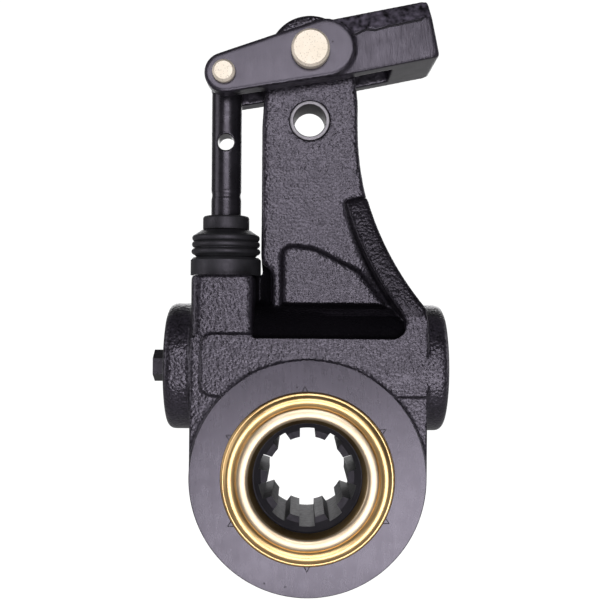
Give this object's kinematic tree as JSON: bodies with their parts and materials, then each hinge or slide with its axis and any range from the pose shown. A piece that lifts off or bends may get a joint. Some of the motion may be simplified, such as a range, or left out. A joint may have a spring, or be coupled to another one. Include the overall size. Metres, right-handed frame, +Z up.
{
  "type": "brake slack adjuster",
  "caption": "Automatic slack adjuster for an S-cam drum brake: cast lever with a splined worm wheel, link-driven rack and clutch, bellows boot and push rod clevis.",
  "frame": {"origin": "centre of the splined cam bore, at the middle of the hub's width", "axes": "+Z up the arm, +Y along the cam axis towards the back, +X to the right seen from the front"},
  "size_m": [0.1167, 0.0618, 0.2316],
  "materials": {
    "cast_black": "semi-gloss black paint over cast grain",
    "forged_black": "semi-gloss black over forged steel",
    "yellow_zinc": "yellow zinc plate",
    "pale_zinc": "pale yellow zinc plate",
    "bare_steel": "machined steel",
    "dark_steel": "phosphated steel",
    "bronze": "bearing bronze",
    "rubber": "matt black rubber"
  },
  "bodies": {
    "housing": {"housing": "cast_black", "arm_bush_lower": "bare_steel", "arm_bush_upper": "bare_steel", "front_seal_cover": "yellow_zinc", "rear_seal_cover": "yellow_zinc", "front_seal": "rubber", "rear_seal": "rubber", "rear_cover": "cast_black", "left_bearing": "bronze", "right_bearing": "bronze", "worm_seal": "rubber", "left_cap": "cast_black", "right_cap": "cast_black", "boot": "rubber", "boot_band": "rubber", "grease_fitting": "bare_steel"},
    "wheel": {"worm_wheel": "dark_steel"},
    "worm": {"worm_shaft": "dark_steel", "clutch_drum": "bare_steel", "thrust_washer": "bare_steel", "thrust_spring": "bare_steel", "shaft_ring": "bare_steel"},
    "pinion": {"pinion": "bare_steel", "clutch_spring": "bare_steel"},
    "rack": {"rack": "bare_steel"},
    "link": {"link": "forged_black"},
    "clevis": {"clevis": "forged_black", "clevis_pin": "pale_zinc", "clevis_cotter": "bare_steel", "link_pin": "pale_zinc", "link_cotter": "bare_steel"}
  },
  "joints": [
    {"name": "wheel_spin", "type": "hinge", "parent": "housing", "child": "wheel", "pos_m": [0, 0, 0], "axis": [0, 1, 0], "continuous": true},
    {"name": "worm_spin", "type": "hinge", "parent": "housing", "child": "worm", "pos_m": [0, 0, 0.041], "axis": [1, 0, 0], "continuous": true},
    {"name": "clevis_pivot", "type": "hinge", "parent": "housing", "child": "clevis", "pos_m": [0, 0, 0.1651], "axis": [0, 1, 0], "range_deg": [-10, 10]},
    {"name": "rack_slide", "type": "slide", "parent": "housing", "child": "rack", "axis": [0, 0, 1], "range_m": [-0.006, 0.006], "deforming": ["boot"]},
    {"name": "link_swing", "type": "hinge", "parent": "rack", "child": "link", "pos_m": [-0.0335, -0.003, 0.0742], "axis": [0, 1, 0], "range_deg": [-1.2, 1.2]},
    {"name": "pinion_spin", "type": "hinge", "parent": "housing", "child": "pinion", "pos_m": [0, 0, 0.041], "axis": [1, 0, 0], "range_deg": [-46, 46]}
  ],
  "couplings": [
    {"joint": "worm_spin", "follows": "wheel_spin", "ratio": -21},
    {"joint": "rack_slide", "follows": "clevis_pivot", "m_per_rad": 0.0335},
    {"joint": "link_swing", "follows": "clevis_pivot", "ratio": -0.10584},
    {"joint": "pinion_spin", "follows": "clevis_pivot", "ratio": -4.4667}
  ]
}
